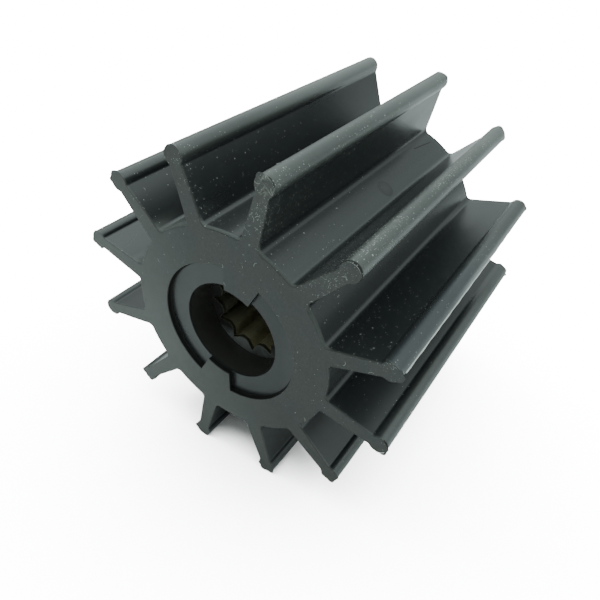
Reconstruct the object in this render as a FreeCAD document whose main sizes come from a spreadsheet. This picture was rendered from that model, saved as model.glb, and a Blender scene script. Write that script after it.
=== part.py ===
import FreeCAD, Part
import math
import os
import Sketcher

# A flexible pump impeller: one moulded rubber body with straight beaded vanes, bonded round a metal
# bush with a splined bore. It lies as it comes to rest, on the beads of two neighbouring vanes.
# Millimetres. The shaft axis is Y, the origin is on it at mid-length, and +Z is up. The front is the
# end at -Y. Turns in the cross-section are in degrees, anticlockwise as seen from the front.

SIZES = {
    # Over the vane tips, and along the shaft
    "overall_diameter": 95.25,
    "overall_length": 88.9,
    # The solid middle of the rubber
    "hub_diameter": 59.4,
    "bore_diameter": 27.5,
    # Vanes: thickness where each leaves the hub and just under its bead, and the blends at both
    "vane_count": 12,
    "root_thickness": 4.8,
    "neck_thickness": 3.4,
    "bead_diameter": 5.0,
    "root_fillet": 1.6,
    "neck_fillet": 0.9,
    # Shallow ring sunk in each end face, crossed by two opposite lugs that stay flush with it
    "recess_diameter": 40.0,
    "recess_depth": 1.5,
    "lug_angle": 30.0,
    # Metal bush, set back from both end faces, with flutes that key it into the rubber
    "bush_diameter": 32.0,
    "bush_setback": 10.2,
    "flute_count": 12,
    "flute_diameter": 2.4,
    # Splined bore of the bush: sharp grooves between round-topped teeth
    "spline_count": 12,
    "spline_major": 25.4,
    "spline_minor": 20.0,
    "groove_angle": 60.0,
    "tooth_tip_radius": 1.4,
}

# How far a profile runs into material that is already there, or into a hole, so that nothing is
# left between them
OVERRUN = 1.0
# Slack when an edge is looked up by its distance from the shaft axis
MATCH = 0.01

# A sketch's own origin, as the sketcher numbers it: the first point of its level axis
ORIGIN = (-1, 1)


class Axis:
    """A sketch's own axes, as the sketcher numbers them."""
    LEVEL = -1
    UPRIGHT = -2


def make_sheet(doc):
    """Driving dimensions, one row each: the name, then the value under that alias."""
    sheet = doc.addObject("Spreadsheet::Sheet", "sizes")
    for row, (alias, value) in enumerate(SIZES.items(), start=1):
        sheet.set("A%d" % row, alias)
        sheet.set("B%d" % row, str(value))
        sheet.setAlias("B%d" % row, alias)
    doc.recompute()
    return sheet


def size(formula):
    """A formula whose names in braces are cells of the sheet."""
    return formula.replace("{", "<<sizes>>.").replace("}", "")


def origin_feature(body, role):
    return next(item for item in body.Origin.OriginFeatures if item.Role == role)


def add_body(doc, name):
    body = doc.addObject("PartDesign::Body", name)
    body.Label = name
    return body


def add_sketch(body, name, turn="0", forward="0"):
    """A sketch across the shaft, turned about it and moved towards the front."""
    sketch = body.newObject("Sketcher::SketchObject", name)
    sketch.AttachmentSupport = [(origin_feature(body, "XZ_Plane"), "")]
    sketch.MapMode = "FlatFace"
    sketch.AttachmentOffset = FreeCAD.Placement(
        FreeCAD.Vector(0, 0, 0), FreeCAD.Rotation(FreeCAD.Vector(0, 0, 1), 1))
    sketch.setExpression("AttachmentOffset.Rotation.Angle", size("(%s) * 1 deg" % turn))
    sketch.setExpression("AttachmentOffset.Base.z", size("(%s) * 1 mm" % forward))
    return sketch


def constrain(sketch, formula, *definition):
    """A dimension of a sketch, driven by a formula on the sheet."""
    index = sketch.addConstraint(Sketcher.Constraint(*definition))
    sketch.setExpression("Constraints[%d]" % index, size(formula))


def tie(sketch, *definition):
    sketch.addConstraint(Sketcher.Constraint(*definition))


def draw_circle(sketch, diameter, height="0"):
    """A circle on the sketch's upright axis, at a height over the shaft axis."""
    circle = sketch.addGeometry(Part.Circle(FreeCAD.Vector(0, 1, 0), FreeCAD.Vector(0, 0, 1), 1))
    constrain(sketch, diameter, "Diameter", circle, 2)
    if height == "0":
        tie(sketch, "Coincident", circle, 3, *ORIGIN)
    else:
        tie(sketch, "PointOnObject", circle, 3, Axis.UPRIGHT)
        constrain(sketch, height, "DistanceY", *ORIGIN, circle, 3, 1)


def extrude(body, kind, name, sketch, length=None):
    """A pad or a pocket that runs the same way to both sides, right through if it has no length."""
    feature = body.newObject("PartDesign::" + kind, name)
    feature.Profile = sketch
    feature.Midplane = True
    if length is None:
        feature.Type = "ThroughAll"
    else:
        feature.setExpression("Length", size(length))
    return feature


def repeat(body, name, feature, count):
    """Copies of a feature, spread evenly round the shaft."""
    pattern = body.newObject("PartDesign::PolarPattern", name)
    pattern.Originals = [feature]
    pattern.Axis = (origin_feature(body, "Y_Axis"), [""])
    pattern.Angle = 360
    pattern.setExpression("Occurrences", size(count))
    body.Tip = pattern
    return pattern


def along_shaft(edge):
    return isinstance(edge.Curve, Part.Line) and abs(abs(edge.Curve.Direction.y) - 1) < 1e-6


def corner_edges(shape, is_wanted):
    """Names of the edges along the shaft between a flat and a round face, picked by their distance
    from its axis."""
    names = []
    for number, edge in enumerate(shape.Edges, start=1):
        if not along_shaft(edge):
            continue
        faces = shape.ancestorsOfType(edge, Part.Face)
        kinds = {type(face.Surface).__name__ for face in faces}
        start = edge.Vertexes[0].Point
        if kinds == {"Plane", "Cylinder"} and is_wanted((start.x ** 2 + start.z ** 2) ** 0.5):
            names.append("Edge%d" % number)
    return names


def round_edges(doc, body, name, radius, is_wanted):
    """A fillet on the corner edges that a test on their distance from the axis picks."""
    doc.recompute()
    base = body.Tip
    fillet = body.newObject("PartDesign::Fillet", name)
    fillet.Base = (base, corner_edges(base.Shape, is_wanted))
    fillet.setExpression("Radius", size(radius))
    body.Tip = fillet
    return fillet


def draw_vane(sketch):
    """One vane, upright: it tapers from the hub to the neck and ends in a round bead."""
    bead_radius = SIZES["bead_diameter"] / 2
    bead_height = SIZES["overall_diameter"] / 2 - bead_radius
    neck_half = SIZES["neck_thickness"] / 2
    root_half = SIZES["root_thickness"] / 2
    foot = SIZES["hub_diameter"] / 2 - OVERRUN
    # The neck meets the bead this far below level, as a turn about the bead's centre
    below = math.acos(neck_half / bead_radius)
    neck = bead_height - bead_radius * math.sin(below)

    circle = Part.Circle(FreeCAD.Vector(0, bead_height, 0), FreeCAD.Vector(0, 0, 1), bead_radius)
    bead = sketch.addGeometry(Part.ArcOfCircle(circle, -below, math.pi + below))
    corners = [(-neck_half, neck), (-root_half, foot), (root_half, foot), (neck_half, neck)]
    points = [FreeCAD.Vector(x, y, 0) for x, y in corners]
    left, base, right = [sketch.addGeometry(Part.LineSegment(a, b)) for a, b in zip(points, points[1:])]
    tie(sketch, "Coincident", bead, 2, left, 1)
    tie(sketch, "Coincident", left, 2, base, 1)
    tie(sketch, "Coincident", base, 2, right, 1)
    tie(sketch, "Coincident", right, 2, bead, 1)
    tie(sketch, "PointOnObject", bead, 3, Axis.UPRIGHT)
    tie(sketch, "Symmetric", bead, 1, bead, 2, Axis.UPRIGHT)
    tie(sketch, "Symmetric", base, 1, base, 2, Axis.UPRIGHT)
    constrain(sketch, "{bead_diameter} / 2", "Radius", bead, bead_radius)
    constrain(sketch, "({overall_diameter} - {bead_diameter}) / 2",
              "DistanceY", *ORIGIN, bead, 3, bead_height)
    constrain(sketch, "{neck_thickness}", "DistanceX", left, 1, right, 2, 2 * neck_half)
    constrain(sketch, "{root_thickness}", "DistanceX", base, 1, base, 2, 2 * root_half)
    constrain(sketch, "{hub_diameter} / 2 - %s" % OVERRUN, "DistanceY", *ORIGIN, base, 1, foot)


def draw_recess(sketch):
    """Two sectors of the sunk ring, right and left, with the upright lugs between them."""
    up = FreeCAD.Vector(0, 0, 1)
    outer_radius = SIZES["recess_diameter"] / 2
    inner_radius = SIZES["bore_diameter"] / 2 - OVERRUN
    sector = math.radians(180 - SIZES["lug_angle"])
    for middle in (0, math.pi):
        ends = (middle - sector / 2, middle + sector / 2)
        outer = sketch.addGeometry(Part.ArcOfCircle(Part.Circle(FreeCAD.Vector(), up, outer_radius), *ends))
        inner = sketch.addGeometry(Part.ArcOfCircle(Part.Circle(FreeCAD.Vector(), up, inner_radius), *ends))
        tie(sketch, "Coincident", outer, 3, *ORIGIN)
        tie(sketch, "Coincident", inner, 3, *ORIGIN)
        constrain(sketch, "{recess_diameter} / 2", "Radius", outer, outer_radius)
        constrain(sketch, "{bore_diameter} / 2 - %s" % OVERRUN, "Radius", inner, inner_radius)
        tie(sketch, "Symmetric", outer, 1, outer, 2, Axis.LEVEL)
        flanks = []
        for end in (1, 2):
            near = sketch.getPoint(inner, end)
            far = sketch.getPoint(outer, end)
            flank = sketch.addGeometry(Part.LineSegment(near, far))
            tie(sketch, "Coincident", flank, 1, inner, end)
            tie(sketch, "Coincident", flank, 2, outer, end)
            tie(sketch, "PointOnObject", *ORIGIN, flank)
            flanks.append(flank)
        constrain(sketch, "(180 - {lug_angle}) * 1 deg", "Angle", flanks[0], 1, flanks[1], 1, sector)


def draw_groove(sketch):
    """One groove of the spline, upright: a sharp wedge, open towards the shaft."""
    bottom = SIZES["spline_major"] / 2
    mouth = SIZES["spline_minor"] / 2 - OVERRUN
    angle = math.radians(SIZES["groove_angle"])
    half_width = (bottom - mouth) * math.tan(angle / 2)
    points = [FreeCAD.Vector(x, y, 0) for x, y in ((0, bottom), (-half_width, mouth), (half_width, mouth))]
    left, base, right = [sketch.addGeometry(Part.LineSegment(a, b))
                         for a, b in zip(points, points[1:] + points[:1])]
    tie(sketch, "Coincident", left, 2, base, 1)
    tie(sketch, "Coincident", base, 2, right, 1)
    tie(sketch, "Coincident", right, 2, left, 1)
    tie(sketch, "PointOnObject", left, 1, Axis.UPRIGHT)
    tie(sketch, "Symmetric", base, 1, base, 2, Axis.UPRIGHT)
    constrain(sketch, "{spline_major} / 2", "DistanceY", *ORIGIN, left, 1, bottom)
    constrain(sketch, "{spline_minor} / 2 - %s" % OVERRUN, "DistanceY", *ORIGIN, base, 1, mouth)
    constrain(sketch, "{groove_angle} * 1 deg", "Angle", left, 1, right, 2, angle)


def make_rubber(doc):
    """The moulded rubber: hub and vanes, cut for the shaft, the bush and the sunk rings."""
    body = add_body(doc, "rubber_impeller")

    profile = add_sketch(body, "hub_profile")
    draw_circle(profile, "{hub_diameter}")
    extrude(body, "Pad", "hub", profile, "{overall_length}")

    # The first vane stands half a pitch from upright, so that two beads share the ground
    profile = add_sketch(body, "vane_profile", "180 / {vane_count}")
    draw_vane(profile)
    vane = extrude(body, "Pad", "vane", profile, "{overall_length}")
    repeat(body, "vanes", vane, "{vane_count}")

    hub_radius = SIZES["hub_diameter"] / 2
    round_edges(doc, body, "root_blends", "{root_fillet}", lambda r: abs(r - hub_radius) < MATCH)
    clear_of_root = hub_radius + SIZES["root_fillet"] + MATCH
    bead_centre = (SIZES["overall_diameter"] - SIZES["bead_diameter"]) / 2
    round_edges(doc, body, "neck_blends", "{neck_fillet}", lambda r: clear_of_root < r < bead_centre)

    profile = add_sketch(body, "bore_profile")
    draw_circle(profile, "{bore_diameter}")
    extrude(body, "Pocket", "bore", profile)

    bush_length = "{overall_length} - 2 * {bush_setback}"
    profile = add_sketch(body, "bush_seat_profile")
    draw_circle(profile, "{bush_diameter}")
    extrude(body, "Pocket", "bush_seat", profile, bush_length)

    profile = add_sketch(body, "key_profile")
    draw_circle(profile, "{flute_diameter}", "{bush_diameter} / 2")
    key = extrude(body, "Pad", "key", profile, bush_length)
    repeat(body, "keys", key, "{flute_count}")

    profile = add_sketch(body, "recess_profile", "-180 / {vane_count}", "{overall_length} / 2")
    draw_recess(profile)
    recess = body.newObject("PartDesign::Pocket", "front_recess")
    recess.Profile = profile
    recess.setExpression("Length", size("{recess_depth}"))
    mirror = body.newObject("PartDesign::Mirrored", "back_recess")
    mirror.Originals = [recess]
    mirror.MirrorPlane = (origin_feature(body, "XZ_Plane"), [""])
    body.Tip = mirror
    return body


def make_bush(doc):
    """The metal bush: fluted outside, splined inside."""
    body = add_body(doc, "splined_bush")

    profile = add_sketch(body, "bush_profile")
    draw_circle(profile, "{bush_diameter}")
    extrude(body, "Pad", "bush_blank", profile, "{overall_length} - 2 * {bush_setback}")

    profile = add_sketch(body, "flute_profile")
    draw_circle(profile, "{flute_diameter}", "{bush_diameter} / 2")
    flute = extrude(body, "Pocket", "flute", profile)
    repeat(body, "flutes", flute, "{flute_count}")

    profile = add_sketch(body, "pilot_profile")
    draw_circle(profile, "{spline_minor}")
    extrude(body, "Pocket", "pilot_bore", profile)

    profile = add_sketch(body, "groove_profile")
    draw_groove(profile)
    groove = extrude(body, "Pocket", "groove", profile)
    repeat(body, "grooves", groove, "{spline_count}")

    tip = SIZES["spline_minor"] / 2
    round_edges(doc, body, "tooth_tips", "{tooth_tip_radius}", lambda r: abs(r - tip) < MATCH)
    return body


def check(doc, bodies):
    """Stops if a feature failed, or a piece isn't one sound solid."""
    for item in doc.Objects:
        if "Invalid" in item.State or "Error" in item.State:
            raise RuntimeError("%s failed: %s" % (item.Name, item.State))
    for body in bodies:
        shape = body.Shape
        if shape.isNull() or not shape.isValid() or len(shape.Solids) != 1 or shape.Volume <= 0:
            raise RuntimeError("%s is not one sound solid" % body.Label)


def main():
    doc = FreeCAD.newDocument("impeller")
    make_sheet(doc)
    bodies = [make_rubber(doc), make_bush(doc)]
    doc.recompute()
    check(doc, bodies)
    os.makedirs("parts", exist_ok=True)
    for body in bodies:
        body.Shape.exportStep("parts/%s.step" % body.Label)
        box = body.Shape.BoundBox
        print("%s: volume %.0f mm3, %.2f x %.2f x %.2f mm"
              % (body.Label, body.Shape.Volume, box.XLength, box.YLength, box.ZLength))


main()
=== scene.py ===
import math
from collections import namedtuple

import bmesh
import bpy
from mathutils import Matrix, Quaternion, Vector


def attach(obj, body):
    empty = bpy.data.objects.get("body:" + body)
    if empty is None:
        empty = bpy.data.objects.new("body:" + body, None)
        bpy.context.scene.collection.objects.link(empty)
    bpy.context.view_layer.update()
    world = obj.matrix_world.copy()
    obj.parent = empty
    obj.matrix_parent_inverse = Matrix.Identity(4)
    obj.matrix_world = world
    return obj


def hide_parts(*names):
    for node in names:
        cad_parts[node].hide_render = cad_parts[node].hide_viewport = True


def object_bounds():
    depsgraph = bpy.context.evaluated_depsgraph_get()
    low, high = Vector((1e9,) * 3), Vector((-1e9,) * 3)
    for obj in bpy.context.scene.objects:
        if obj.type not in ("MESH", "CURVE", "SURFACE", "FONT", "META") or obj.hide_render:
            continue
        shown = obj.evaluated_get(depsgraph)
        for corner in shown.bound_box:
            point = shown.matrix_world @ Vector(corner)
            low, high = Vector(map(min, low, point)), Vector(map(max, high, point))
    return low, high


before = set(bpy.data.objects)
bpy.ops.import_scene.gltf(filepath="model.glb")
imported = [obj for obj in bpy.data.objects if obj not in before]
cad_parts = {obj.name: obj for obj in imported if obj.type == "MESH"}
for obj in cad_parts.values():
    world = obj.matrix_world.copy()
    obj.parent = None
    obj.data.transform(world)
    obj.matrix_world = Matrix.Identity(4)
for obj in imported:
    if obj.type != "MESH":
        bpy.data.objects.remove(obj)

# A flexible pump impeller: a rubber moulding with straight beaded vanes round a splined metal bush.
# It lies on two of its vanes. The shaft axis is Y, +Z is up, and the front is the end at -Y.
# Sizes and places on the impeller are in millimetres, and MM turns them into metres when a mesh is
# made. The camera and the ground are in metres, and the scales of textures are per metre.
# A turn is in degrees, clockwise from straight up as seen from the front.

cad_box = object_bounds()
MM = 0.001

HALF_LENGTH = 44.45
VANE_PITCH = 30.0
FIRST_VANE = -15.0
HUB_RADIUS = 29.7
TIP_RADIUS = 47.625

# A vane's section: half its thickness near the hub and under the bead, each with its radius there
ROOT_HALF, ROOT_AT = 2.4, 28.7
NECK_HALF, NECK_AT = 1.7, 43.292
BEAD_RADIUS = 2.5
ROOT_FILLET = 1.6
NECK_FILLET = 0.9
# The rims of the end faces are rounder on the hub, over a span of radius that ends here
RIM_ROUND, HUB_RIM_ROUND = 0.16, 0.6
HUB_RIM_SPAN, HUB_RIM_END = 1.2, 31.0

# Recess in the end face, bore, and the bush with its seat
RECESS_RADIUS, RECESS_DEPTH = 20.0, 1.5
BORE_RADIUS = 13.75
BUSH_RADIUS, BUSH_SETBACK = 16.0, 10.2
FLUTE_RADIUS = 1.2
SPLINE_MAJOR, SPLINE_MINOR = 12.7, 10.0
GROOVE_HALF_ANGLE = 30.0
TOOTH_ROUND = 1.4

# Distances from the end at which the outside has a row of points, closer together where flash bends
# it. From ROWS_LEVEL_FROM on, the rounder rim of the hub no longer moves a row.
ROWS_FROM_END = (0.4, 0.6, 0.8, 1.0, 1.3, 1.7, 2.3, 3.2, 4.5, 6.5, 9.5, 13.5, 18.0, 23.0, 28.5, 34.0, 39.0)
ROWS_LEVEL_FROM = 3.2

# Every vane of the real one leans a little and ends a little short or long, and not the same at its
# two ends. Leans are in degrees, and a reach is a change of length. A lug lies under two of the vanes.
# They run clockwise from the one on the left of the top.
Vane = namedtuple("Vane", "lean_front lean_back reach_front reach_back lug")
VANES = [Vane(*row) for row in (
    (-0.72, 0.12, 0.25, 0.25, False),
    (0.05, -0.17, 0.0, 0.0, True),
    (0.45, -0.05, 0.0, -0.21, False),
    (0.15, -0.16, 0.10, -0.11, False),
    (-0.45, -0.40, 0.20, 0.0, False),
    (-0.65, -0.40, 0.10, 0.0, False),
    (-0.60, -0.40, 0.0, 0.0, False),
    (0.05, -0.10, -0.05, 0.0, True),
    (0.58, 0.30, 0.0, 0.0, False),
    (0.86, 0.40, -0.23, 0.0, False),
    (0.60, 0.40, -0.07, 0.0, False),
    (0.95, 0.40, -0.12, 0.0, False),
)]

# Flash left at the parting line, where the beads end: the turn is round the bead from the vane's
# outward direction, and where out is negative the bead is chipped instead
Flash = namedtuple("Flash", "vane turn out half_width deep")
FRONT_FLASH = [Flash(*row) for row in (
    (12, -46, 0.60, 0.7, 0.8), (12, -8, 0.25, 1.5, 0.8), (12, 30, 0.50, 1.9, 0.9),
    (11, 58, 0.35, 0.9, 0.8), (11, -38, 0.55, 0.9, 0.9), (11, -112, 0.35, 0.7, 0.7),
    (9, 48, 0.60, 1.0, 1.0), (9, 7, -0.20, 0.5, 0.6), (9, -48, 0.60, 1.0, 1.0),
    (8, 75, 0.60, 0.8, 0.9), (8, -39, 0.45, 0.9, 0.9),
    (7, 94, 0.35, 0.7, 0.7), (7, 46, 0.60, 1.0, 1.0), (7, -33, 0.60, 1.0, 1.0), (7, 5, -0.25, 0.8, 0.8),
    (6, 95, 0.20, 0.8, 0.7), (6, 24, 0.65, 1.1, 1.0), (6, -54, 0.50, 0.8, 0.8),
    (5, 33, 0.75, 1.2, 0.9), (5, -12, 0.45, 1.1, 0.8),
    (4, -5, 0.50, 1.3, 1.6), (4, 30, 0.80, 1.3, 1.6), (4, -75, 0.20, 0.8, 0.6),
    (3, -50, 0.25, 0.9, 0.6), (3, 35, 0.20, 1.0, 0.6),
    (2, -38, 0.65, 1.3, 0.9), (2, 22, 0.30, 1.5, 0.8),
    (1, -60, 0.12, 1.2, 0.6), (1, 48, 0.15, 0.9, 0.6), (1, 8, 0.20, 1.8, 0.9),
)]
BACK_FLASH = [Flash(*row) for row in (
    (5, -72, -0.35, 1.4, 1.0), (5, -14, -0.45, 0.6, 0.8), (5, 9, 0.50, 0.6, 0.8),
    (3, -35, 0.40, 1.2, 1.2), (3, 60, 0.30, 0.9, 0.9),
    (2, -3, -0.30, 1.2, 1.0), (2, 45, 0.15, 0.5, 0.8),
    (4, 10, 0.35, 0.8, 0.8), (1, -40, 0.30, 0.8, 0.8), (12, 30, 0.40, 0.9, 0.8),
    (11, -20, 0.50, 0.8, 0.9), (10, 55, 0.45, 0.9, 0.8), (9, -35, 0.50, 0.8, 0.8),
    (8, 15, 0.40, 1.0, 0.9), (7, -60, 0.35, 0.9, 0.8), (6, 40, 0.45, 0.8, 0.9),
)]
# Flash reaches this far from the end, on points that lie between these distances from the bead's middle
FLASH_DEPTH = 1.5
BEAD_SKIN = (2.0, 2.9)

# Lips curled forward on the front rims of the beads, between two turns round the bead
Lip = namedtuple("Lip", "vane start end height thick paleness")
# The last column is the share of painted highlight on a lip
FRONT_LIPS = [Lip(3, -70, 30, 0.08, 0.06, 0.28), Lip(5, 20, 75, 0.14, 0.10, 1.0)]
LIP_STEPS = 28
# Ridges left along the beads by the mould, between two distances from the front. The last is a nub.
# RIDGE_FOOT is half the width of a ridge's foot, in degrees round the bead.
Ridge = namedtuple("Ridge", "vane turn height start end paleness")
# The last column is the share of painted highlight along a ridge
RIDGES = [
    Ridge(4, 27, 0.36, 2.4, 88.0, 0.6), Ridge(5, 40, 0.12, 0.0, 88.0, 0.5),
    Ridge(2, -50, 0.36, 6.3, 8.2, 0.1),
]
RIDGE_STEPS = 40
RIDGE_FOOT = 7.0

# Edges bent by more than this many degrees stay crisp
SHARP_OVER = 35.0

# The soft lights round the impeller: turn from the back (+Y) towards the right, height, and strength
SOFT_LIGHTS = [
    (75, 45, 2.7), (315, 45, 2.1), (0, 90, 2.3), (195, 45, 0.8), (15, 45, 0.3),
    (0, 8, 0.3), (45, 8, 0.4), (315, 8, 0.2),
]
SOFT_LIGHT_FOCUS = 6.0
SOFT_LIGHT_COLOUR = (0.87, 1.0, 0.975, 1)


# ------------------------ Sections

def polar(radius, turn, centre=(0.0, 0.0)):
    a = math.radians(turn)
    return (centre[0] + radius * math.sin(a), centre[1] + radius * math.cos(a))


def turn_to(point, centre=(0.0, 0.0)):
    return math.degrees(math.atan2(point[0] - centre[0], point[1] - centre[1]))


def spread(start, end, steps):
    return [start + (end - start) * i / steps for i in range(steps + 1)]


def arc(centre, radius, start, end, steps, side=1):
    """Points of an arc, each with the direction out of the material: side is 1 where the arc bulges
    and -1 where it is hollow."""
    out = []
    for turn in spread(start, end, steps):
        d = polar(1.0, turn)
        out.append((polar(radius, turn, centre), (side * d[0], side * d[1])))
    return out


def fillet_centre(point, along, out, radius, centre, circle_radius, far):
    """Centre of a hollow fillet between a flank and a circle that it runs into."""
    qx = point[0] + out[0] * radius - centre[0]
    qz = point[1] + out[1] * radius - centre[1]
    b = qx * along[0] + qz * along[1]
    c = qx * qx + qz * qz - (circle_radius + radius) ** 2
    t = -b + (1 if far else -1) * math.sqrt(b * b - c)
    return (qx + centre[0] + t * along[0], qz + centre[1] + t * along[1])


def vane_section():
    """Outer outline of one upright twelfth of the rubber, from left to right."""
    bead = (0.0, TIP_RADIUS - BEAD_RADIUS)
    root, neck = (ROOT_HALF, ROOT_AT), (NECK_HALF, NECK_AT)
    length = math.hypot(neck[0] - root[0], neck[1] - root[1])
    along = ((neck[0] - root[0]) / length, (neck[1] - root[1]) / length)
    out = (along[1], -along[0])
    low = fillet_centre(root, along, out, ROOT_FILLET, (0.0, 0.0), HUB_RADIUS, True)
    high = fillet_centre(neck, along, out, NECK_FILLET, bead, BEAD_RADIUS, False)
    flank_turn = turn_to((-out[0], -out[1]))
    neck_turn = turn_to(high, bead)

    right = arc(bead, BEAD_RADIUS, 0, neck_turn, 22)
    right += arc(high, NECK_FILLET, neck_turn - 180, flank_turn, 6, -1)[1:]
    top = (high[0] - out[0] * NECK_FILLET, high[1] - out[1] * NECK_FILLET)
    bottom = (low[0] - out[0] * ROOT_FILLET, low[1] - out[1] * ROOT_FILLET)
    for s in spread(0, 1, 8)[1:]:
        right.append(((top[0] + (bottom[0] - top[0]) * s, top[1] + (bottom[1] - top[1]) * s), out))
    root_turn = turn_to(low)
    right += arc(low, ROOT_FILLET, flank_turn, root_turn - 180, 7, -1)[1:]
    right += arc((0.0, 0.0), HUB_RADIUS, root_turn, VANE_PITCH / 2, 5)[1:]
    left = [((-p[0], p[1]), (-n[0], n[1])) for p, n in reversed(right[1:])]
    return left + right


def tooth_section():
    """Inner outline of one upright twelfth of the bush: a round-topped tooth between half grooves."""
    half = VANE_PITCH / 2
    bottom = polar(SPLINE_MAJOR, half)
    # The flank runs inwards from the groove's bottom, with the tooth on its left
    along = polar(1.0, half + 180 + GROOVE_HALF_ANGLE)
    out = (-along[1], along[0])
    qx, qz = bottom[0] - out[0] * TOOTH_ROUND, bottom[1] - out[1] * TOOTH_ROUND
    b = qx * along[0] + qz * along[1]
    c = qx * qx + qz * qz - (SPLINE_MINOR + TOOTH_ROUND) ** 2
    t = -b - math.sqrt(b * b - c)
    centre = (qx + along[0] * t, qz + along[1] * t)
    foot = (centre[0] + out[0] * TOOTH_ROUND, centre[1] + out[1] * TOOTH_ROUND)
    tip_turn = turn_to(centre)
    right = arc((0.0, 0.0), SPLINE_MINOR, 0, tip_turn, 3, -1)
    start, end = tip_turn + 180, turn_to(foot, centre)
    end += 360 * round((start - end) / 360)
    right += arc(centre, TOOTH_ROUND, start, end, 8)[1:]
    right.append((((foot[0] + bottom[0]) / 2, (foot[1] + bottom[1]) / 2), out))
    right.append((bottom, polar(-1 / math.sin(math.radians(GROOVE_HALF_ANGLE)), half)))
    left = [((-p[0], p[1]), (-n[0], n[1])) for p, n in reversed(right[1:])]
    return left + right


def fluted_circle():
    """Where bush and rubber meet, over one twelfth: a circle with half a flute at either side."""
    half = VANE_PITCH / 2
    centre = polar(BUSH_RADIUS, half)
    # The flute's circle crosses the bush's own circle at this turn about the shaft
    crossing = half - math.degrees(2 * math.asin(FLUTE_RADIUS / 2 / BUSH_RADIUS))
    edge = polar(BUSH_RADIUS, crossing)
    start, end = turn_to(edge, centre), half + 180
    start += 360 * round((end - start) / 360)
    right = [polar(BUSH_RADIUS, t) for t in spread(0, crossing, 6)]
    right += [polar(FLUTE_RADIUS, t, centre) for t in spread(start, end, 6)[1:]]
    return [(-x, z) for x, z in reversed(right[1:])] + right


def ring(radius):
    return [polar(radius, t) for t in spread(-VANE_PITCH / 2, VANE_PITCH / 2, 16)]


# ------------------------ Meshes of one sector

class Sector:
    """One twelfth of a ring, built from rows of points (x, z) at a distance y along the shaft."""

    def __init__(self, name):
        self.name = name
        self.points = []
        self.faces = []

    def row(self, outline, y):
        first = len(self.points)
        self.points += [(x * MM, y * MM, z * MM) for x, z in outline]
        return list(range(first, len(self.points)))

    def bridge(self, rows):
        for a, b in zip(rows, rows[1:]):
            self.faces += [(a[i], a[i + 1], b[i + 1], b[i]) for i in range(len(a) - 1)]

    def plate(self, loop):
        self.faces.append(tuple(loop))

    def make_object(self):
        mesh = bpy.data.meshes.new(self.name)
        mesh.from_pydata(self.points, [], self.faces)
        return bpy.data.objects.new(self.name, mesh)


def inset(section, depth):
    return [(p[0] - n[0] * depth, p[1] - n[1] * depth) for p, n in section]


def rounded_rim(radius, steps=4):
    """(inset, depth) pairs down a rounded rim, from the end face to the side."""
    return [(radius * (1 - math.sin(a)), radius * (1 - math.cos(a)))
            for a in (math.pi / 2 * i / steps for i in range(steps + 1))]


def add_lug_side(sector, end, turn, recess_path):
    """The upright side of a lug, in the plane where the sector ends: across the lug's top, down into
    the bore, and back up along the recess."""
    path = [(RECESS_RADIUS + RIM_ROUND, 0.0), (BORE_RADIUS + RIM_ROUND, 0.0)]
    path += [(BORE_RADIUS + i, d) for i, d in rounded_rim(RIM_ROUND)[1:]]
    path += list(reversed(recess_path[:-3]))[:-1]
    loop = []
    for radius, depth in path:
        loop += sector.row([polar(radius, turn)], end * (HALF_LENGTH - depth))
    sector.plate(loop)


def recess_rows():
    """(radius, depth) down the recess wall, across its floor and down the bore."""
    r, corner = RIM_ROUND, 0.5
    path = [(RECESS_RADIUS + i, d) for i, d in rounded_rim(r)]
    path += [(RECESS_RADIUS - corner * (1 - math.cos(a)), RECESS_DEPTH - corner * (1 - math.sin(a)))
             for a in (math.pi / 2 * i / 3 for i in range(4))]
    path += [(BORE_RADIUS + i, RECESS_DEPTH + d) for i, d in rounded_rim(r)]
    path += [(BORE_RADIUS, 4.0), (BORE_RADIUS, 7.0), (BORE_RADIUS, BUSH_SETBACK)]
    return path


def rubber_skin(sector, section):
    """The outside of one twelfth, end to end. The hub's rims are rounder than those of the vanes."""
    on_hub = [min(1.0, max(0.0, (HUB_RIM_END - math.hypot(*point)) / HUB_RIM_SPAN)) for point, _ in section]
    rounds = [RIM_ROUND + (HUB_RIM_ROUND - RIM_ROUND) * share for share in on_hub]
    front = []
    for step in range(5):
        a = math.pi / 8 * step
        front.append([(r * (1 - math.sin(a)), r * (1 - math.cos(a))) for r in rounds])
    for d in ROWS_FROM_END:
        below = max(0.0, (ROWS_LEVEL_FROM - d) / (ROWS_LEVEL_FROM - RIM_ROUND))
        front.append([(0.0, d + (r - RIM_ROUND) * below) for r in rounds])
    rows = []
    for end, steps in ((-1, front), (1, list(reversed(front)))):
        for step in steps:
            first = len(sector.points)
            for (point, out), (inwards, depth) in zip(section, step):
                x, z = point[0] - out[0] * inwards, point[1] - out[1] * inwards
                sector.points.append((x * MM, end * (HALF_LENGTH - depth) * MM, z * MM))
            rows.append(list(range(first, len(sector.points))))
        if end < 0:
            rows.append(sector.row([point for point, _ in section], 0.0))
    sector.bridge(rows)
    return rows


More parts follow.
